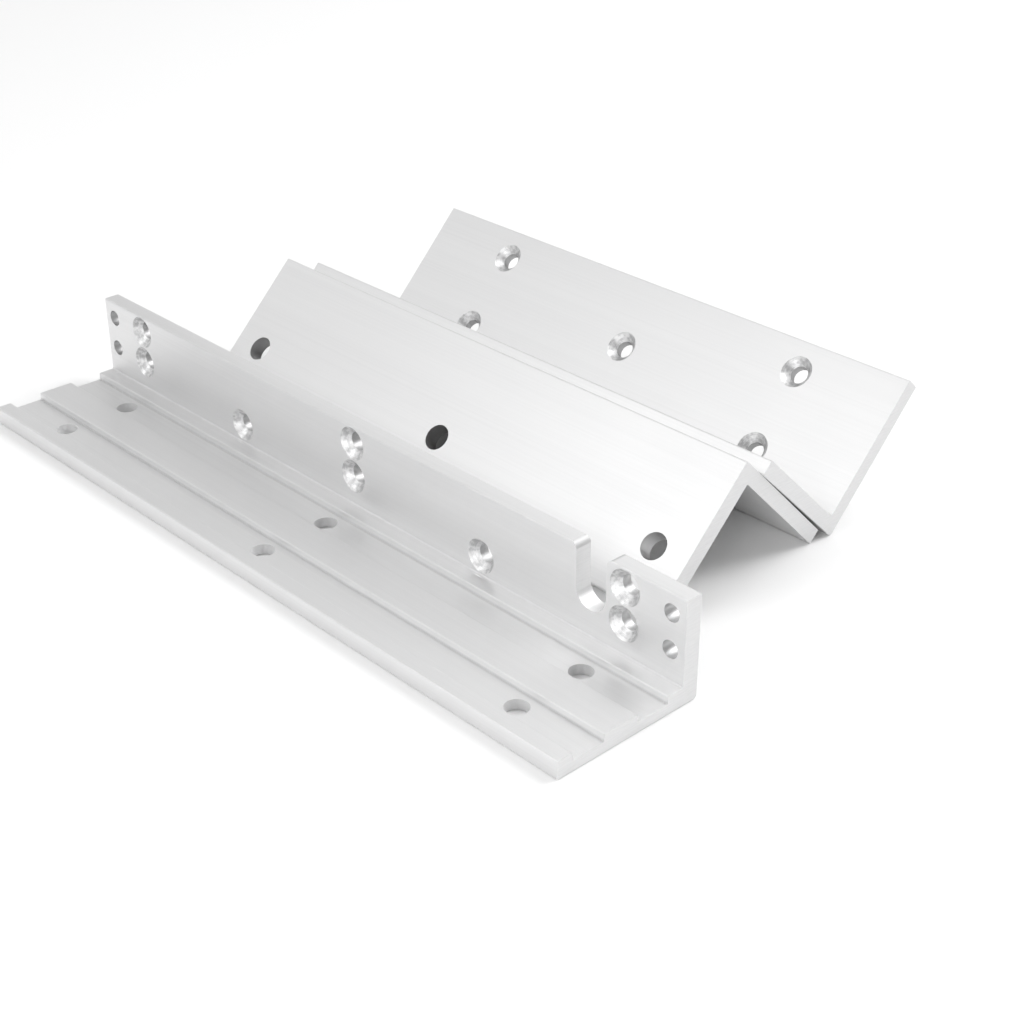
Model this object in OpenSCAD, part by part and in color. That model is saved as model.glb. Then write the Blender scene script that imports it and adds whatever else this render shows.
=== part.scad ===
// Bracket set for an inward-opening door: an L angle that carries the magnet
// and two angles joined web to web into a Z that carries the armature plate.
// X runs along the angles, Y away from the viewer and Z up, in millimetres.
// The origin is on the ground plane, at the middle of the set's length and depth.

/* [Magnet angle] */
// Length of the magnet angle
magnet_len = 250; // [215:1:320]
// Width of its base, from the front edge to the back of the wall
base_w = 47.5; // [46:0.5:60]
// Thickness of the base at its raised lands
land_t = 5.3; // [4.5:0.1:5.4]
// Depth of the two troughs in the top of the base
trough_depth = 2.2; // [0.5:0.1:3]
// Width of each trough
trough_w = 10.4; // [8:0.1:11.5]
// Centre of the front trough, from the front edge
front_row_y = 10.1; // [9:0.1:12]
// Centre of the back trough, from the front edge
back_row_y = 31.9; // [28:0.1:33]
// Height of the wall over the ground
wall_h = 30; // [30:0.5:50]
// Thickness of the wall
wall_t = 5.1; // [4:0.1:8]

/* [Holes of the magnet angle] */
// Diameter of the six frame holes in the base
base_hole_d = 6.6; // [4:0.1:8]
// Distance of the outer frame holes from the ends of the base
base_hole_inset = 24; // [10:0.5:60]
// Height of the lower row of wall holes
low_row_z = 14.2; // [12:0.1:14.3]
// Distance from the lower row up to the upper row
row_rise = 10.3; // [10.1:0.1:10.4]
// Distance of the outer countersunk pairs from the ends of the wall
pair_inset = 20.1; // [17:0.1:20.8]
// Distance of each single countersunk hole from the middle
single_x = 53; // [20:0.5:80]
// Height of the single countersunk holes
single_z = 11; // [11:0.1:20]
// Distance of the plain end holes from the ends of the wall
end_hole_inset = 4.7; // [4:0.1:9]
// Diameter of the plain end holes
end_hole_d = 5; // [3:0.1:6]

/* [Cable notch] */
// Distance of the notch's middle from the right end of the wall
notch_inset = 31.5; // [31.5:0.5:55]
// Width of the notch and of its round bottom
notch_w = 10.4; // [5:0.1:11]
// Height of the notch's bottom over the ground
notch_floor_z = 12.8; // [9:0.1:20]
// Radius where the notch opens into the top edge
notch_mouth_r = 2; // [0.3:0.1:2.5]

/* [Z angles] */
// Length of the armature plate's angle
armature_len = 195.5; // [150:0.5:300]
// Length of the door plate's angle
door_len = 192.5; // [150:0.5:300]
// Thickness of the two webs that are screwed together
web_t = 4.5; // [3.5:0.1:6]
// Width of the armature plate's angle, from the ridge to its edge
armature_plate_w = 47; // [44:0.1:60]
// Thickness of that plate
armature_plate_t = 5.5; // [4:0.1:8]
// Height of the armature angle's web, from the ridge
armature_web_h = 47.7; // [44:0.1:60]
// Width of the door plate, from the heel to its edge
door_plate_w = 49; // [47:0.1:70]
// Thickness of the door plate
door_plate_t = 4.8; // [3.5:0.1:6]
// Height of the door angle's web, from the heel
door_web_h = 45; // [44:0.1:49]

/* [Holes of the Z angles] */
// Diameter of the middle armature hole
armature_hole_d = 8; // [6:0.1:10]
// Diameter of the two guide pin holes
guide_hole_d = 8; // [5:0.1:10]
// Distance of the guide pin holes from the ends of the plate
guide_inset = 11.7; // [8:0.1:50]
// Distance of the armature holes from the ridge
armature_row = 30.8; // [15:0.1:36]
// Distance of the corner door holes from the ends of the plate
door_hole_inset = 34.6; // [12:0.1:70]
// Distance of the middle door hole from the heel
door_row = 26.3; // [25:0.1:28]
// Distance of the corner door holes from the middle row
door_row_rise = 13; // [12:0.1:14]

/* [Countersunk holes] */
// Diameter of every countersunk screw hole
screw_hole_d = 5.5; // [4:0.1:6]
// Diameter of the countersinks at the surface
sink_d = 10; // [8:0.1:10.1]

/* [Web joint] */
// Distance of the two joining screws from the ends of the shorter web
joint_inset = 38; // [20:0.5:60]
// Height of the joining screws over the door angle's heel
joint_h = 24; // [18:0.5:28]
// Length of the slots in the armature angle's web
slot_len = 16; // [12:0.5:40]
// Width of the slots
slot_w = 5.5; // [5.3:0.1:7]
// Thread diameter of the joining screws
screw_d = 5; // [4:0.1:5.2]
// Diameter of the screw heads
head_d = 8.5; // [7:0.1:9.5]
// Height of the screw heads
head_h = 5; // [3:0.1:6]
// Hexagon socket in the heads, across its flats
socket_af = 4; // [2.5:0.1:4]
// Depth of that socket
socket_depth = 2.5; // [1:0.1:2.5]
// Length of thread that stands out behind the door angle's web
screw_tail = 1.4; // [0.5:0.1:4]
// Outer diameter of the washers
washer_d = 10; // [9.6:0.1:12]
// Thickness of the washers
washer_t = 1; // [0.5:0.1:1.6]
// Bevel round the top of the heads and round the screw tips
screw_bevel = 0.5; // [0.2:0.1:0.8]

/* [Arrangement] */
// Free space between the magnet angle and the Z
set_gap = 15.3; // [2:0.1:60]
// How far the door angle is slid along the armature angle
door_slide = 2.4; // [-3:0.1:3]
// How far the middle of the Z lies from the middle of the magnet angle
z_shift = 0.6; // [-10:0.1:10]
// Angle by which the webs open towards the ground below the line where they meet
web_splay = 1; // [0:0.1:2]

/* [Edges] */
// Radius of the long edges
edge_r = 0.4; // [0.2:0.1:0.8]
// Radius in the inside corners
root_r = 0.6; // [0.2:0.1:1]
// Radius on the outside of the wall's foot and of the door angle's heel
heel_r = 1.2; // [0.8:0.1:2]
// Space left where one web meets the other
web_clear = 0.05; // [0.02:0.01:0.2]
// Radial space of the screws in their tapped holes
thread_clear = 0.15; // [0.12:0.01:0.3]

/* [Hidden] */
$fn = 64;
over = 1;
bite = 0.4;
anodised = [0.86, 0.87, 0.88];
steel = [0.62, 0.63, 0.65];

base_hole_x = magnet_len / 2 - base_hole_inset;
pair_x = magnet_len / 2 - pair_inset;
end_hole_x = magnet_len / 2 - end_hole_inset;
notch_x = magnet_len / 2 - notch_inset;
guide_x = armature_len / 2 - guide_inset;
door_hole_x = door_len / 2 - door_hole_inset;
joint_x = min(armature_len, door_len) / 2 - joint_inset;

trough_z = land_t - trough_depth;
upper_row_z = low_row_z + row_rise;
wall_face_y = base_w - wall_t;
notch_r = notch_w / 2;

// The armature angle stands on the edge of its plate and on the edge of its web.
armature_lean = atan2(armature_web_h - armature_plate_t, armature_plate_w - web_t);
ridge_z = (armature_plate_w - edge_r) * sin(armature_lean)
        + (armature_plate_t - edge_r) * cos(armature_lean) + edge_r;
ridge_y = base_w + set_gap + edge_r + (armature_plate_w - edge_r) * cos(armature_lean)
        - edge_r * sin(armature_lean);

// The door angle stands on its heel, with the top of its web against the other web.
door_lean = armature_lean + web_splay;
heel_z = heel_r * (1 - sin(door_lean) - cos(door_lean));
meet_z = heel_z + edge_r * sin(door_lean) + (door_web_h - edge_r) * cos(door_lean);
meet_y = ridge_y + (edge_r + web_clear - (meet_z - ridge_z) * sin(armature_lean)) / cos(armature_lean);
heel_y = meet_y - edge_r * cos(door_lean) + (door_web_h - edge_r) * sin(door_lean);

set_depth = heel_y + (door_plate_w - edge_r) * cos(door_lean) - edge_r * sin(door_lean) + edge_r;

// Where the axis of the joining screws leaves the door angle's web, seen from the ridge.
joint_y = heel_y - joint_h * sin(door_lean) - ridge_y;
joint_z = heel_z + joint_h * cos(door_lean) - ridge_z;
joint_gap = joint_y * cos(armature_lean) + joint_z * sin(armature_lean);
joint_drop = joint_y * sin(armature_lean) - joint_z * cos(armature_lean);
head_y = (joint_gap + web_t + washer_t) / cos(web_splay) + head_d / 2 * tan(web_splay);
slot_drop = joint_drop + web_t / 2 * tan(web_splay);
washer_drop = joint_drop + (web_t + washer_t / 2) * tan(web_splay);

// Metal outside a rounded corner; toward gives the quarter that the metal fills.
module corner_waste(at, toward, r)
    translate(at)
    turned_toward(toward)
    difference() {
        translate([-over, -over]) square(over + r);
        translate([r, r]) circle(r);
    }

// Metal that fills an inside corner; toward gives the open quarter.
module corner_fill(at, toward, r)
    translate(at)
    turned_toward(toward)
    difference() {
        translate([-bite, -bite]) square(bite + r);
        translate([r, r]) circle(r);
    }

// Mirrors a shape drawn for the quarter of +X and +Y into another quarter.
module turned_toward(toward)
    mirror([toward.x < 0 ? 1 : 0, 0])
    mirror([0, toward.y < 0 ? 1 : 0])
    children();

// Section of a plain angle: its plate runs along +X and its web up +Y from the heel.
module angle_section(plate_w, plate_t, web_h, heel)
    difference() {
        union() {
            square([plate_w, plate_t]);
            square([web_t, web_h]);
            corner_fill([web_t, plate_t], [1, 1], root_r);
        }
        corner_waste([0, 0], [1, 1], heel);
        corner_waste([plate_w, 0], [-1, 1], edge_r);
        corner_waste([plate_w, plate_t], [-1, -1], edge_r);
        corner_waste([0, web_h], [1, -1], edge_r);
        corner_waste([web_t, web_h], [-1, -1], edge_r);
    }

// One trough in the top of the base, with its upper edges broken.
module trough_section(row_y)
    union() {
        translate([row_y - trough_w / 2, trough_z]) square([trough_w, trough_depth + over]);
        corner_waste([row_y - trough_w / 2, land_t], [-1, -1], edge_r);
        corner_waste([row_y + trough_w / 2, land_t], [1, -1], edge_r);
    }

// Section of the magnet angle, with its front edge on the Y axis.
module magnet_section()
    difference() {
        union() {
            square([base_w, land_t]);
            translate([wall_face_y, 0]) square([wall_t, wall_h]);
            corner_fill([wall_face_y, land_t], [-1, 1], root_r);
        }
        trough_section(front_row_y);
        trough_section(back_row_y);
        corner_waste([0, 0], [1, 1], edge_r);
        corner_waste([0, land_t], [1, -1], edge_r);
        corner_waste([base_w, 0], [-1, 1], heel_r);
        corner_waste([base_w, wall_h], [-1, -1], edge_r);
        corner_waste([wall_face_y, wall_h], [1, -1], edge_r);
    }

// Carries a section drawn in depth and height along X.
module extrusion(length)
    translate([-length / 2, 0, 0])
    rotate([90, 0, 90])
    linear_extrude(length)
    children();

// A round hole down through a plate whose upper face is at Z = 0.
module plain_hole(d, t)
    translate([0, 0, -t - over])
    cylinder(d = d, h = t + 2 * over);

// The same, opened to a cone at the upper face for a flat-headed screw.
module sunk_hole(t)
    union() {
        plain_hole(screw_hole_d, t);
        translate([0, 0, -(sink_d - screw_hole_d) / 2])
        cylinder(d1 = screw_hole_d, d2 = sink_d + 2 * over, h = (sink_d - screw_hole_d) / 2 + over);
    }

// Puts a hole in the front of the wall.
module in_wall(x, z)
    translate([x, wall_face_y, z])
    rotate([90, 0, 0])
    children();

// The cable notch, open at the top edge of the wall.
module cable_notch()
    translate([notch_x, base_w + over, 0])
    rotate([90, 0, 0])
    linear_extrude(wall_t + 2 * over)
    union() {
        translate([0, notch_floor_z + notch_r]) circle(notch_r);
        translate([-notch_r, notch_floor_z + notch_r]) square([notch_w, wall_h]);
        corner_waste([-notch_r, wall_h], [-1, -1], notch_mouth_r);
        corner_waste([notch_r, wall_h], [1, -1], notch_mouth_r);
    }

module magnet_angle()
    color(anodised)
    translate([0, -set_depth / 2, 0])
    difference() {
        extrusion(magnet_len) magnet_section();
        for (x = [-base_hole_x, 0, base_hole_x], y = [front_row_y, back_row_y])
            translate([x, y, land_t]) plain_hole(base_hole_d, land_t);
        for (x = [-pair_x, 0, pair_x], z = [low_row_z, upper_row_z])
            in_wall(x, z) sunk_hole(wall_t);
        for (x = [-single_x, single_x])
            in_wall(x, single_z) sunk_hole(wall_t);
        for (x = [-end_hole_x, end_hole_x], z = [low_row_z, upper_row_z])
            in_wall(x, z) plain_hole(end_hole_d, wall_t);
        cable_notch();
    }

// Place of the armature angle: its ridge is the local X axis and its face looks up.
module armature_place()
    translate([z_shift - door_slide / 2, ridge_y - set_depth / 2, ridge_z])
    rotate([armature_lean, 0, 0])
    children();

// Place of the door angle: its heel is the local X axis and its web stands up.
module door_place()
    translate([z_shift + door_slide / 2, heel_y - set_depth / 2, heel_z])
    rotate([door_lean, 0, 0])
    children();

// A slot through the armature angle's web, along which the door angle can be slid.
module web_slot(x)
    translate([x, over, -slot_drop])
    rotate([90, 0, 0])
    linear_extrude(web_t + 2 * over)
    union() {
        square([slot_len - slot_w, slot_w], center = true);
        for (side = [-1, 1])
            translate([side * (slot_len - slot_w) / 2, 0]) circle(d = slot_w);
    }

module armature_angle()
    color(anodised)
    armature_place()
    difference() {
        extrusion(armature_len)
            rotate(180) angle_section(armature_plate_w, armature_plate_t, armature_web_h, edge_r);
        translate([0, -armature_row, 0]) plain_hole(armature_hole_d, armature_plate_t);
        for (x = [-guide_x, guide_x])
            translate([x, -armature_row, 0]) plain_hole(guide_hole_d, armature_plate_t);
        for (x = [-joint_x, joint_x])
            web_slot(x);
    }

module door_angle()
    color(anodised)
    door_place()
    difference() {
        extrusion(door_len)
            angle_section(door_plate_w, door_plate_t, door_web_h, heel_r);
        translate([0, door_row, door_plate_t]) sunk_hole(door_plate_t);
        for (x = [-door_hole_x, door_hole_x], side = [-1, 1])
            translate([x, door_row + side * door_row_rise, door_plate_t]) sunk_hole(door_plate_t);
        for (x = [-joint_x, joint_x])
            translate([x, -over, joint_h])
            rotate([-90, 0, 0])
            cylinder(d = screw_d + 2 * thread_clear, h = web_t + 2 * over);
    }

// A round bar from Z = 0 up, with its upper rim bevelled.
module bevelled_bar(d, h)
    union() {
        cylinder(d = d, h = h - screw_bevel);
        translate([0, 0, h - screw_bevel])
        cylinder(d1 = d, d2 = d - 2 * screw_bevel, h = screw_bevel);
    }

// A socket screw whose thread runs along +Y through the door angle's web.
module joint_screw(x)
    color(steel)
    door_place()
    translate([x, -head_y, joint_h])
    rotate([-90, 0, 0])
    difference() {
        union() {
            mirror([0, 0, 1]) bevelled_bar(head_d, head_h);
            bevelled_bar(screw_d, head_y + web_t + screw_tail);
        }
        translate([0, 0, -head_h - over])
        cylinder(d = socket_af / cos(30), h = socket_depth + over, $fn = 6);
    }

// A plain washer that lies flat on the armature angle's web.
module joint_washer(x)
    color(steel)
    armature_place()
    translate([x + door_slide, -web_t, -washer_drop])
    rotate([90, 0, 0])
    difference() {
        cylinder(d = washer_d, h = washer_t);
        translate([0, 0, -over]) cylinder(d = slot_w, h = washer_t + 2 * over);
    }

magnet_angle();
armature_angle();
door_angle();
joint_screw(-joint_x);  // joint_screw_left
joint_screw(joint_x);  // joint_screw_right
joint_washer(-joint_x);  // joint_washer_left
joint_washer(joint_x);  // joint_washer_right
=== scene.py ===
# %% [markdown]
# # A bracket set for the magnetic lock of a door that opens inwards
#
# The set lies on a table as it comes out of its box. In front is an L shaped
# angle that is screwed to the door frame and carries the magnet. Behind it two
# more angles are screwed web to web into a Z that carries the magnet's steel
# plate on the door. All of them are cut from satin anodised aluminium profile.
#
# The solids come from the construction model, so this lesson is about looks:
# where the camera stands, how soft light shows a flat metal face, and how one
# procedural finish gives a profile its die lines, its sawn ends and its
# drilled and countersunk holes. The small screws and washers of the Z are
# modelled here by hand, because their threads and knurls are too fine for the
# construction model.

# %% Load the construction model
import bpy
from collections import namedtuple
from math import acos, atan2, cos, degrees, radians, sin, tan
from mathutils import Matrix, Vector


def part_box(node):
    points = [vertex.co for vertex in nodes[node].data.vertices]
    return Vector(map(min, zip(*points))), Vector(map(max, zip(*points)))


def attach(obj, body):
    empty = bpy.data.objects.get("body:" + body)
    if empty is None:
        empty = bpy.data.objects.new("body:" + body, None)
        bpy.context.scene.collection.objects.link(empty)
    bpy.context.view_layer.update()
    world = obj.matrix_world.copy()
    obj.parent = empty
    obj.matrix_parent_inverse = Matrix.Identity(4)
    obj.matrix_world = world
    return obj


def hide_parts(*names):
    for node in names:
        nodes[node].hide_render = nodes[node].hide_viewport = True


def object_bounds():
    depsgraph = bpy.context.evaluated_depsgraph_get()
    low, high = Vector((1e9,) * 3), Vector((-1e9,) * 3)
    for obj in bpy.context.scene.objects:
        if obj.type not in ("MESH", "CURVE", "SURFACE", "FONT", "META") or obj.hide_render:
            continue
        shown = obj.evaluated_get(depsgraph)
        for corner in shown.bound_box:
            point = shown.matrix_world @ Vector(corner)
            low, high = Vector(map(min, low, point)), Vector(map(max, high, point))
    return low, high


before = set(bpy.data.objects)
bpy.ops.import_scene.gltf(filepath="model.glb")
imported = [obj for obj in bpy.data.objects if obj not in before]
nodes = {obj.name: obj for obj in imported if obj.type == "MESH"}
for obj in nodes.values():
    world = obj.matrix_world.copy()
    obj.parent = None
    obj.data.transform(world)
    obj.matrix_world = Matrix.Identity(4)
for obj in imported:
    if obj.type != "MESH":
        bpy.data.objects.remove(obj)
cad_low, cad_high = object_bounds()
MM = 0.001
print("pieces from the construction model:", sorted(nodes))

# %% [markdown]
# ## The camera
#
# The camera could be placed by eye, but the long straight edges of the angles
# give it away: their directions meet in vanishing points, and the known length
# of the front angle gives the distance. So it is placed by numbers. It looks
# down by about 29 degrees from the front right corner, through a lens a little
# longer than a normal one.

# %% Place the camera
LENS, FILM_WIDTH = 64.45, 36
CAMERA_PLACE = (0.3612, -0.3208, 0.2586)
CAMERA_TILT, CAMERA_TURN = radians(60.6), radians(46.7)
camera_data = bpy.data.cameras.new("camera")
camera_data.sensor_width = FILM_WIDTH
camera_data.lens = LENS
camera_data.clip_start = 0.01
camera = bpy.data.objects.new("camera", camera_data)
camera.location = CAMERA_PLACE
camera.rotation_euler = (CAMERA_TILT, 0, CAMERA_TURN)
bpy.context.scene.collection.objects.link(camera)
bpy.context.scene.camera = camera
print("camera height in mm:", round(camera.location.z / MM))

# %% [markdown]
# ## The floor
#
# A product like this is photographed on white card. The floor is one large
# plane, matte and nearly white. A shiny floor would mirror the angles, and a
# grey one would darken the undersides of the sloping plates, which see little
# else.

# %% Lay the floor
FLOOR_SIDE, FLOOR_DROP = 8, 0.2 * MM
CARD_WHITE = (0.93, 0.93, 0.93, 1)


def deselect_everything():
    for thing in bpy.context.selected_objects:
        thing.select_set(False)


deselect_everything()
bpy.ops.mesh.primitive_plane_add(size=FLOOR_SIDE, location=(0, 0, -FLOOR_DROP))
floor = bpy.context.object
floor.name = "floor"
card = bpy.data.materials.new("white_card")
card.use_nodes = True
card_shader = card.node_tree.nodes["Principled BSDF"]
card_shader.inputs["Base Color"].default_value = CARD_WHITE
card_shader.inputs["Roughness"].default_value = 0.9
card_shader.inputs["Specular IOR Level"].default_value = 0.1
floor.data.materials.append(card)
print("floor side in m:", floor.dimensions.x)

# %% [markdown]
# ## The light
#
# Satin metal shows its surroundings as a blur, so it is lit by large soft
# things and not by bare lamps. The pale world fills every shadow. Most of the
# softboxes stand on a ring round the table, each given by its compass angle,
# its height angle and its power. The strong ones stand behind the set: they
# make the card white, but the flat faces mirror them away from the camera and
# keep their grey. The weak ones on the left and in front are those that the
# faces do mirror, so they set the tone of each face. Two small ones stand close
# in front and brighten the right ends.

# %% Fill the room with pale light
ROOM_STRENGTH = 0.35
world = bpy.data.worlds.new("pale_room")
world.use_nodes = True
world.node_tree.nodes["Background"].inputs["Color"].default_value = (1, 1, 1, 1)
world.node_tree.nodes["Background"].inputs["Strength"].default_value = ROOM_STRENGTH
bpy.context.scene.world = world
bpy.context.scene.view_settings.view_transform = "Standard"
print("strength of the room's light:", ROOM_STRENGTH)

# %% Set up the softboxes
RING_RADIUS, RING_BOX_SIDE = 1.3, 0.8
# Name, compass angle and height angle in degrees, power in watts
RING = (("high_back_right_softbox", 60, 52, 8.7),
        ("back_softbox", 75, 35, 2.9),
        ("high_back_left_softbox", 120, 52, 1.2),
        ("low_back_left_softbox", 135, 22, 1.1),
        ("low_left_softbox", 180, 22, 1.7),
        ("low_front_left_softbox", 225, 22, 0.45),
        ("high_front_left_softbox", 240, 52, 2.5),
        ("high_right_softbox", 0, 52, 0.7))


def add_softbox(name, place, aim, side, watts):
    lamp = bpy.data.lights.new(name, "AREA")
    lamp.shape = "SQUARE"
    lamp.size, lamp.energy = side, watts
    box = bpy.data.objects.new(name, lamp)
    box.location = place
    box.rotation_euler = (Vector(aim) - Vector(place)).to_track_quat("-Z", "Y").to_euler()
    bpy.context.scene.collection.objects.link(box)
    return box


def on_ring(compass, height):
    """The place at those two angles in degrees, seen from the middle of the table."""
    turn, rise = radians(compass), radians(height)
    return RING_RADIUS * Vector((cos(rise) * cos(turn), cos(rise) * sin(turn), sin(rise)))


softboxes = [add_softbox(name, on_ring(compass, height), (0, 0, 0), RING_BOX_SIDE, watts)
             for name, compass, height, watts in RING]
softboxes += [
    add_softbox("near_front_right_softbox", (0.30, -0.42, 0.16), (0.08, -0.05, 0), 0.2, 0.75),
    add_softbox("near_front_left_softbox", (-0.15, -0.45, 0.42), (0.10, 0.02, 0), 0.3, 0.47),
]
print("softboxes:", len(softboxes))
print("power in watts:", round(sum(box.data.energy for box in softboxes), 1))

# %% [markdown]
# ## Writing a finish as sums
#
# A procedural finish is a net of small nodes, and most of them only add or
# multiply. They could be wired by hand in the shader editor. Here a small
# class stands for one wire, so that the sums can be written as in any other
# program, and a second one makes every other kind of node.

# %% Sums on wires
class Wire:
    def __init__(self, finish, node, output=0):
        self.finish, self.node, self.socket = finish, node, node.outputs[output]

    def maths(self, operation, *rest):
        return self.finish.node("ShaderNodeMath", {"operation": operation}, [self, *rest])

    def __add__(self, other):
        return self.maths("ADD", other)

    def __sub__(self, other):
        return self.maths("SUBTRACT", other)

    def __rsub__(self, other):
        return self.finish.node("ShaderNodeMath", {"operation": "SUBTRACT"}, [other, self])

    def __mul__(self, other):
        return self.maths("MULTIPLY", other)

    def __pow__(self, other):
        return self.maths("POWER", other)

    def __abs__(self):
        return self.maths("ABSOLUTE")

    __radd__ = __add__
    __rmul__ = __mul__

    def lesser(self, other):
        return self.maths("MINIMUM", other)

    def greater(self, other):
        return self.maths("MAXIMUM", other)

    def fade(self, none, full):
        """0 where the value is none, 1 where it is full, and a soft step between them."""
        return self.finish.node("ShaderNodeMapRange", {"interpolation_type": "SMOOTHSTEP"},
                                {"Value": self, "From Min": none, "From Max": full})

    def within(self, limit, blur=0.1 * MM):
        """1 where the value is under the limit and 0 where it is over it."""
        return self.fade(limit + blur, limit - blur)


print("a wire can be added, subtracted and multiplied")

# %% Nodes and colours
Three = namedtuple("Three", "x y z")


class Finish:
    def __init__(self, name):
        self.material = bpy.data.materials.new(name)
        self.material.use_nodes = True
        self.tree = self.material.node_tree
        self.shader = self.tree.nodes["Principled BSDF"]

    def plug(self, value, socket):
        if isinstance(value, Wire):
            self.tree.links.new(value.socket, socket)
        else:
            socket.default_value = value

    def node(self, kind, settings=None, sockets=(), output=0):
        made = self.tree.nodes.new(kind)
        for name, value in (settings or {}).items():
            setattr(made, name, value)
        for name, value in (sockets.items() if isinstance(sockets, dict) else enumerate(sockets)):
            self.plug(value, made.inputs[name])
        return Wire(self, made, output)

    def feed(self, socket, value):
        self.plug(value, self.shader.inputs[socket])

    def point(self):
        """The point of the surface, in metres, in the frame that the whole set shares."""
        return self.node("ShaderNodeTexCoord", output="Object")

    def facing(self):
        """The direction in which the surface looks."""
        return self.node("ShaderNodeNewGeometry", output="True Normal")

    def apart(self, vector):
        """The X, Y and Z of a vector."""
        first = self.node("ShaderNodeSeparateXYZ", {}, [vector])
        return Three(first, Wire(self, first.node, 1), Wire(self, first.node, 2))

    def stretched(self, where, scale):
        """The place, scaled differently along each axis, for a pattern that runs along one."""
        return self.node("ShaderNodeMapping", {}, {"Vector": where, "Scale": scale})

    def noise(self, where, scale=1.0, detail=2.0, roughness=0.5):
        """Soft blotches, about as many to the metre as the scale says."""
        return self.node("ShaderNodeTexNoise", {},
                         {"Vector": where, "Scale": scale, "Detail": detail, "Roughness": roughness})

    def mix(self, mask, plain, painted):
        """One colour where the mask is 0 and another where it is 1."""
        return self.node("ShaderNodeMix", {"data_type": "RGBA"}, {0: mask, 6: plain, 7: painted}, output=2)


print("a finish can hold noises, mixes and masks")

# %% [markdown]
# ## Where the holes are
#
# The countersinks are cut after anodising, so they are bare and bright, and
# the finish has to know where they are. Their places could be read from the
# mesh, but they follow simple rows, so a few numbers from the drawing do. Rows
# that are the same on both sides of the middle are folded together, so that a
# single sum finds every hole of a row.

# %% The drawing's numbers for the magnet angle
front, right_end = cad_low.y, cad_high.x
wall_face = front + 42.4 * MM
wall_foot_z, trough_z = 5.3 * MM, 3.1 * MM
trough_rows = (front + 10.1 * MM, front + 31.9 * MM)
trough_half = 5.2 * MM
base_hole_x, end_hole_x = right_end - 24 * MM, right_end - 4.7 * MM
sink_pair_x, sink_single_x = right_end - 20.1 * MM, right_end - 72 * MM
low_row_z, high_row_z, single_row_z = 14.2 * MM, 24.5 * MM, 11 * MM
notch_x, notch_half, notch_z = right_end - 31.5 * MM, 7.3 * MM, 12.5 * MM
notch_mouth_z = 27.7 * MM
SINK_R, SCREW_R, BASE_HOLE_R, END_HOLE_R = 5.2 * MM, 2.8 * MM, 3.4 * MM, 2.6 * MM
print("front face of the wall at Y in mm:", round(wall_face / MM, 1))

# %% The drawing's numbers for the Z
SPLAY = radians(1)
ridge_y, ridge_z = 11.87 * MM, 36.85 * MM
heel_y, heel_z = 50.12 * MM, -0.5 * MM
armature_lean = atan2(47.7 - 5.5, 47 - 4.5)
door_lean = armature_lean + SPLAY
webs_meet_z = 30.9 * MM
ARMATURE_ROW, GUIDE_X, ARMATURE_HOLE_R = 30.8 * MM, 86.05 * MM, 4.1 * MM
DOOR_ROW, DOOR_ROW_RISE, DOOR_HOLE_X = 26.3 * MM, 13 * MM, 61.65 * MM
print("lean of the Z's plates in degrees:", round(degrees(armature_lean), 2), round(degrees(door_lean), 2))


# %% Distances from the axis of a hole
def spacing(row, low, high):
    """How far a value is from the nearer one of two rows."""
    middle, half = (low + high) / 2, (high - low) / 2
    return abs(abs(row - middle) - half)


def radius(across, up):
    """How far the point is from the axis of a hole."""
    return (across * across + up * up) ** 0.5


def span(node):
    """The middle of a node in X, and half its length."""
    low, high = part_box(node)
    return (low.x + high.x) / 2, (high.x - low.x) / 2


print("half the length of the magnet angle in mm:", round(span("magnet_angle")[1] / MM, 2))

# %% How much a cut face is turned
# The facing along the axis of a hole is 1 on the flat metal, 0.7 on the cone of
# a countersink and 0 on the wall of a hole. Each pair holds the facing at which
# a mask is still empty and the one at which it is full.
CONE_FACING, WALL_FACING, WALL_UNDER_CONE_FACING = (0.93, 0.85), (0.6, 0.4), (0.3, 0.2)
FLAT_FACING = (0.9, 0.97)
print("a cone's mask is full from this turn on, in degrees:", round(degrees(acos(CONE_FACING[1]))))

# %% [markdown]
# ## Satin anodised aluminium
#
# A profile is pushed through a steel die, and the die's edge draws fine lines
# along the whole length. The chemical bath before anodising dulls the metal to
# an even satin, and the oxide layer on top is clear. So the finish is a metal
# with a fairly rough surface, streaks that are very long in X and very narrow
# across it, a faint fine grain, and some cloudiness from handling.
#
# What is cut later shows the cutter instead. Saw and mill leave faint lines on
# the ends and in the notch, the countersink turns fine rings into its cone and
# chatters a little, and the drill leaves ripples on the walls of its holes,
# which are painted darker as the shade inside the holes. Each kind of cut has a
# mask, which is 1 on the cut face and 0 elsewhere, its own colour and its own
# pattern in the relief. Two more masks change less: one roughens the holes that
# are drilled before the bath, and one paints shade, and a rougher surface, into
# the inner corners, over the highlight at the mouth of the notch and on the
# faces between the two webs of the Z, which only show as a thin gap.

# %% Patterns in the metal
def satin_patterns(finish, where):
    """Die lines, broader bands, grain and the cloudiness of handling."""
    lines = finish.noise(finish.stretched(where, (5, 1400, 1400)), detail=3, roughness=0.7)
    bands = finish.noise(finish.stretched(where, (1.5, 160, 160)), detail=2)
    grain = finish.noise(where, scale=9000, detail=1)
    clouds = finish.noise(where, scale=22, detail=3)
    return lines, bands, grain, clouds


def cut_patterns(finish, where, at, from_axis):
    """Lines of saw and mill, ripples of the drill, and a countersink's rings and chatter."""
    saw = finish.noise(finish.stretched(where, (50, 220, 5200)), detail=2)
    ripples = finish.noise(finish.stretched(where, (30, 60, 2600)), detail=2)
    round_the_axis = finish.node("ShaderNodeCombineXYZ", {}, [from_axis * 9000, at.x * 40, at.z * 40])
    rings = finish.noise(round_the_axis, detail=1)
    chatter = finish.noise(where, scale=800, detail=2)
    return saw, ripples, rings, chatter


print("patterns: lines, bands, grain, clouds, saw, ripples, rings, chatter")

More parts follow.
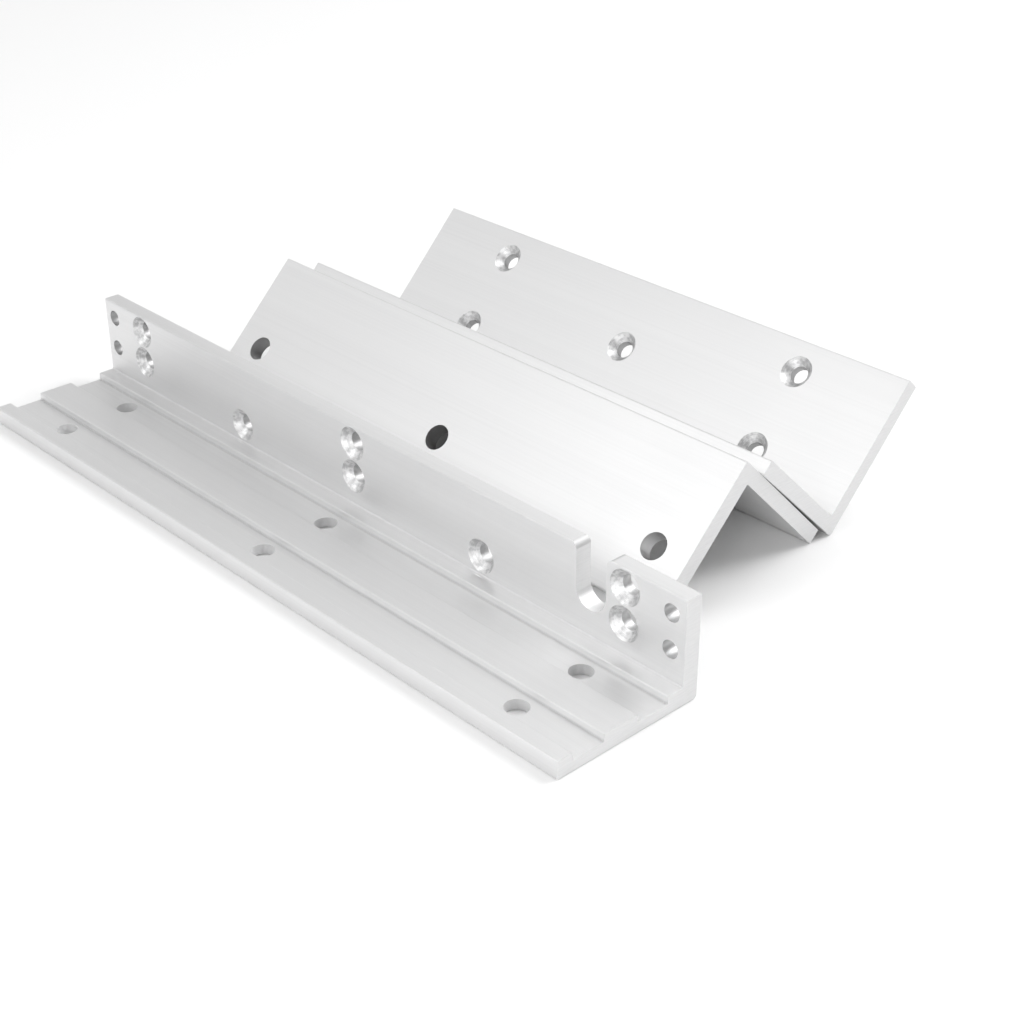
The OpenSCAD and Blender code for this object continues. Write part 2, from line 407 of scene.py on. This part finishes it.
# %% The finish of the profiles
SATIN = (0.835, 0.835, 0.836, 1)
STREAK = (0.80, 0.80, 0.802, 1)
SAWN = (0.75, 0.75, 0.752, 1)
LIGHT_SAWN = (0.79, 0.79, 0.792, 1)
CHATTER = (0.58, 0.58, 0.583, 1)
# The grey of the painted shade on the walls of the holes.
BORE_SHADE = (0.42, 0.42, 0.423, 1)
# The grey of the painted shade in inner corners, at the notch's mouth and between the webs of the Z.
SHADE_GREY = (0.45, 0.45, 0.45, 1)
RELIEF_DEPTH = 0.05 * MM


def dress(node, sinks, bores, mills, painted_shades, etches):
    """Gives a node the finish of a profile. Each function makes a mask from the point and its facing."""
    middle, half = span(node)
    finish = Finish("satin_" + node)
    where = finish.point()
    at, way = finish.apart(where), finish.apart(finish.facing())
    near_end = abs(at.x - middle).fade(half - 0.4 * MM, half - 0.2 * MM)
    sawn = (abs(way.x).fade(0.7, 0.9) * near_end).greater(mills(at, way))
    sunk, from_axis = sinks(at, way)
    drilled_and_shaded, shaded_and_dull = bores(at, way), painted_shades(at, way)
    lines, bands, grain, clouds = satin_patterns(finish, where)
    saw, ripples, rings, chatter = cut_patterns(finish, where, at, from_axis)

    cone = finish.mix((chatter * 0.7 + rings * 0.3).fade(0.38, 0.62), CHATTER, SATIN)
    colour = finish.mix((lines * 0.5 + bands * 0.5).fade(0.35, 0.75), SATIN, STREAK)
    colour = finish.mix(sawn, colour, finish.mix(saw.fade(0.3, 0.7), SAWN, LIGHT_SAWN))
    # Painted shade in the inner corners, at the notch's mouth and on the faces between the webs of the Z.
    colour = finish.mix(shaded_and_dull, colour, SHADE_GREY)
    colour = finish.mix(sunk, colour, cone)
    # Painted shade on the walls of the drilled holes.
    finish.feed("Base Color", finish.mix(drilled_and_shaded, colour, BORE_SHADE))
    finish.feed("Metallic", 1.0)

    satin = 0.41 + lines * 0.06 + clouds * 0.08
    cut = sawn * 0.05 - sunk * 0.03 + rings * sunk * 0.1
    finish.feed("Roughness", satin + cut + shaded_and_dull * 0.3 + etches(at, way) * 0.45)
    uncut = 1 - sawn.greater(sunk).greater(drilled_and_shaded)
    cut_relief = saw * sawn * 0.3 + (rings * 0.8 + chatter * 5) * sunk + ripples * drilled_and_shaded * 0.8
    relief = lines * uncut * 0.22 + grain * 0.15 + cut_relief
    finish.feed("Normal", finish.node("ShaderNodeBump", {}, {"Strength": 0.25, "Distance": RELIEF_DEPTH,
                                                             "Height": relief}))
    for held in nodes[node].material_slots:
        held.material = finish.material
    print("nodes in the finish of", node + ":", len(finish.tree.nodes))


print("shades of the satin metal:", SATIN[:3], "and", STREAK[:3])

# %% [markdown]
# ## The cuts of the magnet angle
#
# The wall has two countersinks over each other at both ends and in the middle,
# single ones between them, plain holes at the very ends, and the notch for the
# cable. The base has two rows of plain holes. Each mask asks two things: is the
# point near enough to the axis of a hole, and does the surface there face
# sideways, as the wall of a hole does. The first alone would also stain the
# flat metal round the hole.

# %% Masks of the magnet angle
# How strongly shade is painted: on the walls of the end holes and of the screw holes, along the troughs'
# feet, along the wall's foot (as a share of that), and over the highlight at the notch's mouth.
END_SHADE, SCREW_SHADE, TROUGH_FOOT_SHADE, WALL_FOOT_SHADE, NOTCH_MOUTH_SHADE = 0.5, 0.6, 0.24, 0.6, 0.4


def in_the_wall(at):
    return at.y.fade(wall_face - 0.1 * MM, wall_face)


def from_wall_sink(at):
    """How far the point is from the axis of the nearest countersink."""
    pairs = radius(abs(at.x).lesser(abs(abs(at.x) - sink_pair_x)), spacing(at.z, low_row_z, high_row_z))
    singles = radius(abs(abs(at.x) - sink_single_x), abs(at.z - single_row_z))
    return pairs.lesser(singles)


def magnet_sinks(at, way):
    nearest = from_wall_sink(at)
    cone = nearest.within(SINK_R) * abs(way.y).fade(*CONE_FACING)
    above_base = at.z.fade(wall_foot_z + 0.5 * MM, wall_foot_z + 0.7 * MM)
    return cone * above_base * in_the_wall(at), nearest


# Painted shade on the walls of the wall's holes: the end holes and the holes under the countersinks.
def magnet_bores(at, way):
    from_end_hole = radius(abs(abs(at.x) - end_hole_x), spacing(at.z, low_row_z, high_row_z))
    end_bore = from_end_hole.within(END_HOLE_R) * abs(way.y).fade(*WALL_FACING)
    screw_bore = from_wall_sink(at).within(SCREW_R, 0.04 * MM) * abs(way.y).fade(*WALL_UNDER_CONE_FACING)
    return (end_bore * END_SHADE).greater(screw_bore * SCREW_SHADE) * in_the_wall(at)


def etched_holes(at, way):
    """The holes of the base, which are drilled before the bath and come out of it matte."""
    rows = radius(abs(at.x).lesser(abs(abs(at.x) - base_hole_x)), spacing(at.y, *trough_rows))
    return rows.within(BASE_HOLE_R) * abs(way.z).fade(*WALL_FACING)


def notch_walls(at, way):
    inside = abs(at.x - notch_x).within(notch_half) * at.z.fade(notch_z - 0.1 * MM, notch_z + 0.1 * MM)
    return inside * abs(way.y).fade(*WALL_FACING) * in_the_wall(at)


def magnet_painted_shades(at, way):
    """Painted shade along the feet of the troughs' sides and of the wall, and over the highlight at the
    notch's rounded mouth.
    """
    sides = spacing(spacing(at.y, *trough_rows), -trough_half, trough_half)
    trough_feet = radius(sides, abs(at.z - trough_z)).fade(0.9 * MM, 0.3 * MM)
    wall_foot = radius(abs(at.y - wall_face), abs(at.z - wall_foot_z)).fade(0.8 * MM, 0.3 * MM)
    shaded_feet = trough_feet.greater(wall_foot * WALL_FOOT_SHADE) * abs(way.x).fade(0.3, 0.1)
    shaded_mouth = abs(way.x * way.z).fade(0.04, 0.25) * at.z.fade(notch_mouth_z - 0.2 * MM, notch_mouth_z)
    return (shaded_feet * TROUGH_FOOT_SHADE).greater(shaded_mouth * NOTCH_MOUTH_SHADE)


dress("magnet_angle", magnet_sinks, magnet_bores, notch_walls, magnet_painted_shades, etched_holes)

# %% [markdown]
# ## The cuts of the Z
#
# The armature angle's plate has three plain holes, and the door angle's plate
# has five countersinks for the screws into the door. Both plates slope, so the
# place of a hole is measured along the plate and not along Y or Z. The facing
# of the surface is turned back by the lean in the same way.

# %% Masks of sloping plates
ridge_x, heel_x = span("armature_angle")[0], span("door_angle")[0]


def along_plate(at, corner_y, corner_z, lean):
    """How far the point is along a sloping plate from its corner."""
    return (at.y - corner_y) * cos(lean) + (at.z - corner_z) * sin(lean)


def square_on(way, lean):
    """1 on the faces of a sloping plate, 0 on the walls of a hole through it."""
    return abs(way.z * cos(lean) - way.y * sin(lean))


def no_cut(at, way):
    """An empty mask, for a node without such a cut."""
    return at.x * 0


def no_sinks(at, way):
    """An empty mask, and any distance, because no countersink shows it."""
    return at.x * 0, at.x


print("middles of the Z's angles in mm:", round(ridge_x / MM, 2), round(heel_x / MM, 2))


# %% Masks of the armature angle
ARMATURE_SHADE = 0.4


# Painted shade on the walls of the three holes of the armature angle's plate.
def armature_bores(at, way):
    down = along_plate(at, ridge_y, ridge_z, armature_lean)
    across = abs(at.x - ridge_x)
    rows = radius(across.lesser(abs(across - GUIDE_X)), abs(down + ARMATURE_ROW))
    return rows.within(ARMATURE_HOLE_R) * square_on(way, armature_lean).fade(*WALL_FACING) * ARMATURE_SHADE


# Painted shade on the face under the door angle's web, so that the gap between the webs shows dark.
def facing_door_web(at, way):
    """The face that the door angle's web lies against."""
    lies_on = (way.y * cos(armature_lean) + way.z * sin(armature_lean)).fade(*FLAT_FACING)
    door_middle, door_half = span("door_angle")
    covered = abs(at.x - door_middle).within(door_half - 0.3 * MM)
    return lies_on * covered * at.z.fade(webs_meet_z, webs_meet_z - 0.9 * MM)


dress("armature_angle", no_sinks, armature_bores, no_cut, facing_door_web, no_cut)


# %% Masks of the door angle
def from_door_hole(at):
    """How far the point is from the axis of the nearest hole of the door angle's plate."""
    up = along_plate(at, heel_y, heel_z, door_lean) - DOOR_ROW
    across = abs(at.x - heel_x)
    corners = radius(abs(across - DOOR_HOLE_X), abs(abs(up) - DOOR_ROW_RISE))
    return corners.lesser(radius(across, abs(up)))


def door_sinks(at, way):
    nearest = from_door_hole(at)
    return nearest.within(SINK_R) * square_on(way, door_lean).fade(*CONE_FACING), nearest


# Painted shade on the walls of the holes under the countersinks.
def door_bores(at, way):
    bore = from_door_hole(at).within(SCREW_R, 0.04 * MM)
    return bore * square_on(way, door_lean).fade(*WALL_UNDER_CONE_FACING)


# Painted shade on the face against the armature angle's web, so that the gap between the webs shows dark.
def facing_armature_web(at, way):
    """The face that lies against the armature angle's web."""
    lies_on = (way.y * -cos(door_lean) - way.z * sin(door_lean)).fade(*FLAT_FACING)
    armature_middle, armature_half = span("armature_angle")
    covered = abs(at.x - armature_middle).within(armature_half)
    return lies_on * covered * at.z.fade(webs_meet_z, webs_meet_z - 0.9 * MM)


dress("door_angle", door_sinks, door_bores, no_cut, facing_armature_web, no_cut)

# %% [markdown]
# ## The head of a joining screw
#
# Two socket screws hold the webs of the Z together. On the real thing the
# head is cold formed, its side is rolled to a knurl so that fingers can turn
# it, and its hexagon socket is punched. Here it starts as a cylinder. The rim
# of its top is bevelled, its side is cut into small squares, and each square
# is inset and pushed out a little. A six sided prism is subtracted for the
# socket. The screw is modelled at the origin with its thread pointing up.

# %% Picking faces and edges by their place
def pick(piece, kind, wanted):
    """Opens edit mode with only those faces or edges picked whose middle and direction are wanted."""
    bpy.context.view_layer.objects.active = piece
    bpy.ops.object.mode_set(mode="EDIT")
    bpy.ops.mesh.select_mode(type=kind)
    bpy.ops.mesh.select_all(action="DESELECT")
    bpy.ops.object.mode_set(mode="OBJECT")
    mesh = piece.data
    if kind == "FACE":
        for face in mesh.polygons:
            face.select = wanted(face.center, face.normal)
    else:
        for edge in mesh.edges:
            start, stop = (mesh.vertices[number].co for number in edge.vertices)
            edge.select = wanted((start + stop) / 2, (stop - start).normalized())
    bpy.ops.object.mode_set(mode="EDIT")


def done_editing():
    bpy.ops.object.mode_set(mode="OBJECT")
    deselect_everything()


print("faces and edges can be picked by their place")


# %% Cylinders and cuts
def add_cylinder(name, sides, across, low, high):
    """A cylinder about the Z axis, with its place in its mesh."""
    deselect_everything()
    bpy.ops.mesh.primitive_cylinder_add(vertices=sides, radius=across / 2, depth=high - low,
                                        location=(0, 0, (low + high) / 2))
    made = bpy.context.object
    made.name = name
    bpy.ops.object.transform_apply(location=True, rotation=True, scale=True)
    return made


def combine(piece, tool, operation):
    """Cuts the tool out of the piece, joins them or keeps what they share, and takes the tool away."""
    bpy.context.view_layer.objects.active = piece
    cut = piece.modifiers.new("cut", "BOOLEAN")
    cut.operation, cut.object, cut.solver = operation, tool, "EXACT"
    bpy.ops.object.modifier_apply(modifier="cut")
    bpy.data.objects.remove(tool)


print("cylinders can be cut, joined and crossed")

# %% Model the head
SIDES, TINY = 48, 0.01 * MM
HEAD_D, HEAD_H, KNURL, RIM = 8.5 * MM, 5 * MM, 0.07 * MM, 0.5 * MM
KNURL_ROWS, KNURL_GAP = 7, 0.12 * MM
HEXAGON, HEXAGON_DEPTH = 4 * MM, 2.5 * MM
head = add_cylinder("joint_screw", SIDES, HEAD_D - 2 * KNURL, -HEAD_H, 0)
pick(head, "EDGE", lambda at, way: at.z < -HEAD_H + TINY and abs(way.z) < 0.1)
bpy.ops.mesh.bevel(offset=RIM, segments=3, affect="EDGES")
done_editing()
pick(head, "EDGE", lambda at, way: abs(way.z) > 0.99 and at.to_2d().length > HEAD_D / 2 - 2 * RIM)
bpy.ops.mesh.subdivide(number_cuts=KNURL_ROWS - 1)
done_editing()
pick(head, "FACE", lambda at, normal: abs(normal.z) < 0.1 and RIM - HEAD_H < at.z < -0.2 * MM)
bpy.ops.mesh.inset(thickness=KNURL_GAP, depth=KNURL, use_individual=True)
done_editing()
prism = add_cylinder("socket", 6, HEXAGON / cos(radians(30)), -HEAD_H - 1 * MM, HEXAGON_DEPTH - HEAD_H)
combine(head, prism, "DIFFERENCE")
print("faces of the head:", len(head.data.polygons))

# %% [markdown]
# ## The thread
#
# A thread is one tooth carried round the screw along a helix. The tooth starts
# as a square standing beside the axis. The side next to the axis is opened,
# the outer side is shortened to the crest, and the line is pressed flat to the
# depth of the tooth. Then the Screw modifier turns it while it lifts it by one
# pitch per turn. Both ends are cut off square and closed, and a cylinder with a
# bevelled rim gives the tip its chamfer, because only what both share is kept.

# %% Shape the tooth
THREAD_D, PITCH, TOOTH_DEPTH, REACH = 5 * MM, 0.8 * MM, 0.49 * MM, 11.885 * MM
crest = Vector((THREAD_D / 2, 0, -3 * PITCH))
deselect_everything()
bpy.ops.mesh.primitive_plane_add(size=PITCH, location=crest - Vector((PITCH / 2, 0, 0)),
                                 rotation=(radians(90), 0, 0))
thread = bpy.context.object
bpy.ops.object.transform_apply(location=True, rotation=True, scale=True)
pick(thread, "EDGE", lambda at, way: abs(way.z) > 0.9 and at.x < crest.x - 0.9 * PITCH)
bpy.ops.mesh.delete(type="EDGE")
done_editing()
pick(thread, "EDGE", lambda at, way: abs(way.z) > 0.9)
bpy.ops.transform.resize(value=(1, 1, 0.15), center_override=crest)
done_editing()
pick(thread, "EDGE", lambda at, way: True)
bpy.ops.transform.resize(value=(TOOTH_DEPTH / PITCH, 1, 1), center_override=crest)
done_editing()
print("depth of the tooth in mm:", round(thread.dimensions.x / MM, 2))

# %% Turn the thread
TURNS, STEPS, MERGE = 21, 32, 0.002 * MM
BELOW, ABOVE, TIP_CHAMFER = 1 * MM, 0.5 * MM, 0.5 * MM
turning = thread.modifiers.new("turning", "SCREW")
turning.screw_offset, turning.iterations = PITCH, TURNS
turning.steps = turning.render_steps = STEPS
bpy.context.view_layer.objects.active = thread
bpy.ops.object.modifier_apply(modifier="turning")
pick(thread, "FACE", lambda at, normal: True)
bpy.ops.mesh.remove_doubles(threshold=MERGE)
bpy.ops.mesh.normals_make_consistent(inside=False)
done_editing()
for level, above in ((-BELOW, False), (REACH + ABOVE, True)):
    pick(thread, "FACE", lambda at, normal: True)
    bpy.ops.mesh.bisect(plane_co=(0, 0, level), plane_no=(0, 0, 1), use_fill=True, clear_outer=above,
                        clear_inner=not above, threshold=TINY / 100)
    done_editing()
rod = add_cylinder("rod", SIDES, THREAD_D + 2 * TIP_CHAMFER, -2 * BELOW, REACH)
pick(rod, "EDGE", lambda at, way: at.z > REACH - TINY and abs(way.z) < 0.1)
bpy.ops.mesh.bevel(offset=2 * TIP_CHAMFER, segments=1, affect="EDGES")
done_editing()
combine(thread, rod, "INTERSECT")
print("turns of the thread:", round(thread.dimensions.z / PITCH, 1))

# %% [markdown]
# ## Zinc plated steel
#
# Zinc is plated on and then passivated, which leaves a slightly bluish, bright
# but not polished skin. It is patchy on small parts, because they tumble
# against each other in the barrel. So the finish is a smoother metal than the
# aluminium, with soft blotches in its colour and its roughness and a very fine
# grain in its relief.

# %% The finish of screws and washers
ZINC, BRIGHT_ZINC, RUBBED_ZINC = (0.62, 0.64, 0.67, 1), (0.70, 0.71, 0.715, 1), (0.55, 0.555, 0.57, 1)
ZINC_RELIEF = 0.04 * MM
zinc = Finish("zinc_plated_steel")
on_zinc = zinc.point()
blotches = zinc.noise(on_zinc, scale=700, detail=3)
wear = zinc.noise(on_zinc, scale=2500, detail=2)
grain = zinc.noise(on_zinc, scale=14000, detail=1)
plated = zinc.mix(blotches.fade(0.35, 0.65), ZINC, BRIGHT_ZINC)
zinc.feed("Base Color", zinc.mix(wear.fade(0.6, 0.75), plated, RUBBED_ZINC))
zinc.feed("Metallic", 1.0)
zinc.feed("Roughness", 0.22 + blotches * 0.14 + wear * 0.06)
zinc.feed("Normal", zinc.node("ShaderNodeBump", {}, {"Strength": 0.2, "Distance": ZINC_RELIEF,
                                                     "Height": grain * 0.4 + wear * 0.6}))
print("nodes in the zinc finish:", len(zinc.tree.nodes))

# %% [markdown]
# ## Joining and placing the screws
#
# The head and the thread are joined into one closed skin, and the finished
# screw is copied for the second place. Each copy has its own mesh, because its
# place is applied to it. The screws stand square on the door angle's web, so
# they lean as the door angle leans. The axis of each goes through the middle
# of its washer, and the rim of its head touches the washer's face.

# %% Helpers that paint and place
def paint(piece, finish):
    piece.data.materials.clear()
    piece.data.materials.append(finish.material)


def middle_of(node):
    low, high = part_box(node)
    return (low + high) / 2


def place_copies(model, seats, lean):
    """Puts a copy of the model at every seat, in the place of the node with that name."""
    model.data.name = model.name
    bpy.context.view_layer.objects.active = model
    model.select_set(True)
    bpy.ops.object.shade_smooth_by_angle(angle=radians(35))
    deselect_everything()
    for node, seat in seats.items():
        piece = model.copy()
        piece.data = model.data.copy()
        piece.name = "fine_" + node
        bpy.context.scene.collection.objects.link(piece)
        piece.location = seat
        piece.rotation_euler = (lean - radians(90), 0, 0)
        piece.select_set(True)
        bpy.context.view_layer.objects.active = piece
        bpy.ops.object.transform_apply(location=True, rotation=True, scale=True)
        deselect_everything()
        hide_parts(node)
        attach(piece, "root")
        corner = Vector([min(point.co[axis] for point in piece.data.vertices) for axis in range(3)])
        off = (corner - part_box(node)[0]).length
        print(piece.name, "starts this far from its node in mm:", round(off / MM, 2))
    bpy.data.objects.remove(model)


print("left washer's middle in mm:", [round(value / MM, 2) for value in middle_of("joint_washer_left")])

# %% Join the screw and place both
WASHER_T = 1 * MM
combine(head, thread, "UNION")
paint(head, zinc)
along_axis = Vector((0, cos(door_lean), sin(door_lean)))
under_head = (WASHER_T / 2 / cos(SPLAY) + HEAD_D / 2 * tan(SPLAY)) * along_axis
place_copies(head, {"joint_screw_" + side: middle_of("joint_washer_" + side) - under_head
                    for side in ("left", "right")}, door_lean)

# %% [markdown]
# ## The washers
#
# A washer is punched from strip, which rounds its rim and its hole a little.
# It starts as a short cylinder. Its two flat faces are inset to the size of
# the hole, and the inner faces are bridged into a hole. The edges are then
# bevelled.

# %% Model the washer
WASHER_D, WASHER_HOLE, WASHER_RIM = 10 * MM, 5.5 * MM, 0.12 * MM
washer = add_cylinder("joint_washer", SIDES, WASHER_D, -WASHER_T / 2, WASHER_T / 2)
pick(washer, "FACE", lambda at, normal: abs(normal.z) > 0.9)
bpy.ops.mesh.inset(thickness=(WASHER_D - WASHER_HOLE) / 2, use_individual=True)
done_editing()
pick(washer, "FACE", lambda at, normal: abs(normal.z) > 0.9 and at.to_2d().length < TINY)
bpy.ops.mesh.bridge_edge_loops()
done_editing()
pick(washer, "EDGE", lambda at, way: abs(way.z) < 0.1 and abs(way.dot(at.to_2d().to_3d().normalized())) < 0.2)
bpy.ops.mesh.bevel(offset=WASHER_RIM, segments=3, affect="EDGES")
done_editing()
paint(washer, zinc)
place_copies(washer, {"joint_washer_" + side: middle_of("joint_washer_" + side)
                      for side in ("left", "right")}, armature_lean)
